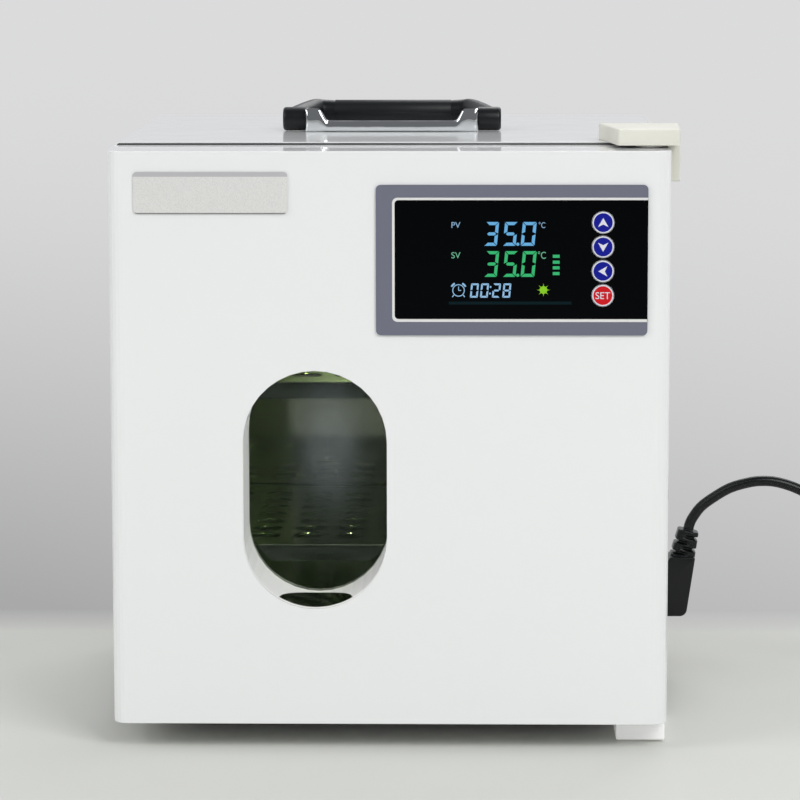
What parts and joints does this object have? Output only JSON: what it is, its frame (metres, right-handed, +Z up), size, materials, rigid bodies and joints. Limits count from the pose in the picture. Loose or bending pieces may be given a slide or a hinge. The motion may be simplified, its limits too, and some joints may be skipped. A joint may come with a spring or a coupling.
{
  "type": "portable incubator",
  "caption": "Small white bench incubator: a box whose hinged front door has a tall rounded window and a display panel with round keys, with a folding top handle and a mains lead at its right.",
  "frame": {"origin": "On the floor under the middle of the box of the incubator without its mains lead, with the feet at z = 0.", "axes": "+Z is up. The door faces -Y. +X is to the right as seen from the front, where the hinges and the mains inlet are."},
  "size_m": [0.5455, 0.3036, 0.3417],
  "materials": {
    "enamel": "smooth semi-gloss white enamel on steel sheet",
    "white_plastic": "white moulded plastic, fine texture",
    "cream_plastic": "warm white moulded plastic, satin",
    "zinc_plate": "zinc-plated steel sheet, dull",
    "foot_rubber": "black rubber, matt",
    "stainless": "bright stainless steel sheet, finely brushed",
    "foam": "rigid insulation foam, cream, open cut faces",
    "heater_silicone": "orange-brown silicone rubber sheet",
    "lamp_white": "white lamp strip with clear domes",
    "circuit_board": "green solder-masked board",
    "black_plastic": "black moulded plastic, fine grain",
    "bright_steel": "bright plated steel",
    "grip_rubber": "dark grey soft sleeve, satin",
    "window_glass": "clear flat glass",
    "gasket_rubber": "pale grey soft seal",
    "fascia_grey": "blue-grey printed film",
    "lens_black": "black gloss overlay",
    "display_black": "dark display glass",
    "badge_silver": "brushed aluminium, bare",
    "key_blue": "deep blue satin key",
    "key_red": "red satin key",
    "cord_black": "black flexible plastic, slight sheen"
  },
  "bodies": {
    "cabinet": {"cabinet_shell": "enamel", "front_frame": "white_plastic", "base_plate": "zinc_plate", "rear_panel": "enamel", "deck_plate": "zinc_plate", "foot_front_left": "foot_rubber", "foot_front_right": "foot_rubber", "foot_rear_left": "foot_rubber", "foot_rear_right": "foot_rubber", "chamber_liner": "stainless", "insulation_block": "foam", "heater_mat": "heater_silicone", "temperature_probe": "stainless", "chamber_lamp": "lamp_white", "shelf_rack_left": "stainless", "shelf_rack_right": "stainless", "shelf_lower": "stainless", "shelf_upper": "stainless", "power_board": "circuit_board", "inlet_module": "black_plastic", "handle_base": "bright_steel", "handle_pin_left": "zinc_plate", "handle_pin_right": "zinc_plate", "upper_hinge_bracket": "zinc_plate", "upper_hinge_cover": "cream_plastic", "upper_hinge_pin": "zinc_plate", "lower_hinge_bracket": "zinc_plate", "lower_hinge_cover": "white_plastic", "lower_hinge_pin": "zinc_plate", "cord_connector": "cord_black", "cord": "cord_black", "cord_coil": "cord_black", "mains_plug": "cord_black"},
    "door": {"door_skin": "enamel", "door_inner_panel": "white_plastic", "door_insulation": "foam", "window_spacer": "white_plastic", "window_pane_outer": "window_glass", "window_pane_inner": "window_glass", "door_gasket": "gasket_rubber", "control_fascia": "fascia_grey", "display_lens": "lens_black", "lcd_module": "display_black", "control_board": "circuit_board", "badge_plate": "badge_silver", "upper_hinge_bush": "white_plastic", "lower_hinge_bush": "white_plastic"},
    "key_up": {"key_up": "key_blue"},
    "key_down": {"key_down": "key_blue"},
    "key_left": {"key_left": "key_blue"},
    "key_set": {"key_set": "key_red"},
    "handle": {"handle_bail": "black_plastic", "handle_grip": "grip_rubber"},
    "rocker": {"rocker_switch": "black_plastic"},
    "fuse_drawer": {"fuse_drawer": "black_plastic"}
  },
  "joints": [
    {"name": "door_hinge", "type": "hinge", "parent": "cabinet", "child": "door", "pos_m": [0.136, -0.1202, 0.17], "axis": [0, 0, 1], "range_deg": [0, 100]},
    {"name": "handle_fold", "type": "hinge", "parent": "cabinet", "child": "handle", "pos_m": [-0.0046, 0.0018, 0.3323], "axis": [1, 0, 0], "range_deg": [0, 90]},
    {"name": "key_up_press", "type": "slide", "parent": "door", "child": "key_up", "axis": [0, 1, 0], "range_m": [0, 0.0005], "stiffness_N_per_m": 400},
    {"name": "key_down_press", "type": "slide", "parent": "door", "child": "key_down", "axis": [0, 1, 0], "range_m": [0, 0.0005], "stiffness_N_per_m": 400},
    {"name": "key_left_press", "type": "slide", "parent": "door", "child": "key_left", "axis": [0, 1, 0], "range_m": [0, 0.0005], "stiffness_N_per_m": 400},
    {"name": "key_set_press", "type": "slide", "parent": "door", "child": "key_set", "axis": [0, 1, 0], "range_m": [0, 0.0005], "stiffness_N_per_m": 400},
    {"name": "rocker_tilt", "type": "hinge", "parent": "cabinet", "child": "rocker", "pos_m": [0.1455, 0.0828, 0.0473], "axis": [0, 1, 0], "range_deg": [0, 14]},
    {"name": "fuse_drawer_slide", "type": "slide", "parent": "cabinet", "child": "fuse_drawer", "axis": [1, 0, 0], "range_m": [0, 0.012]}
  ]
}
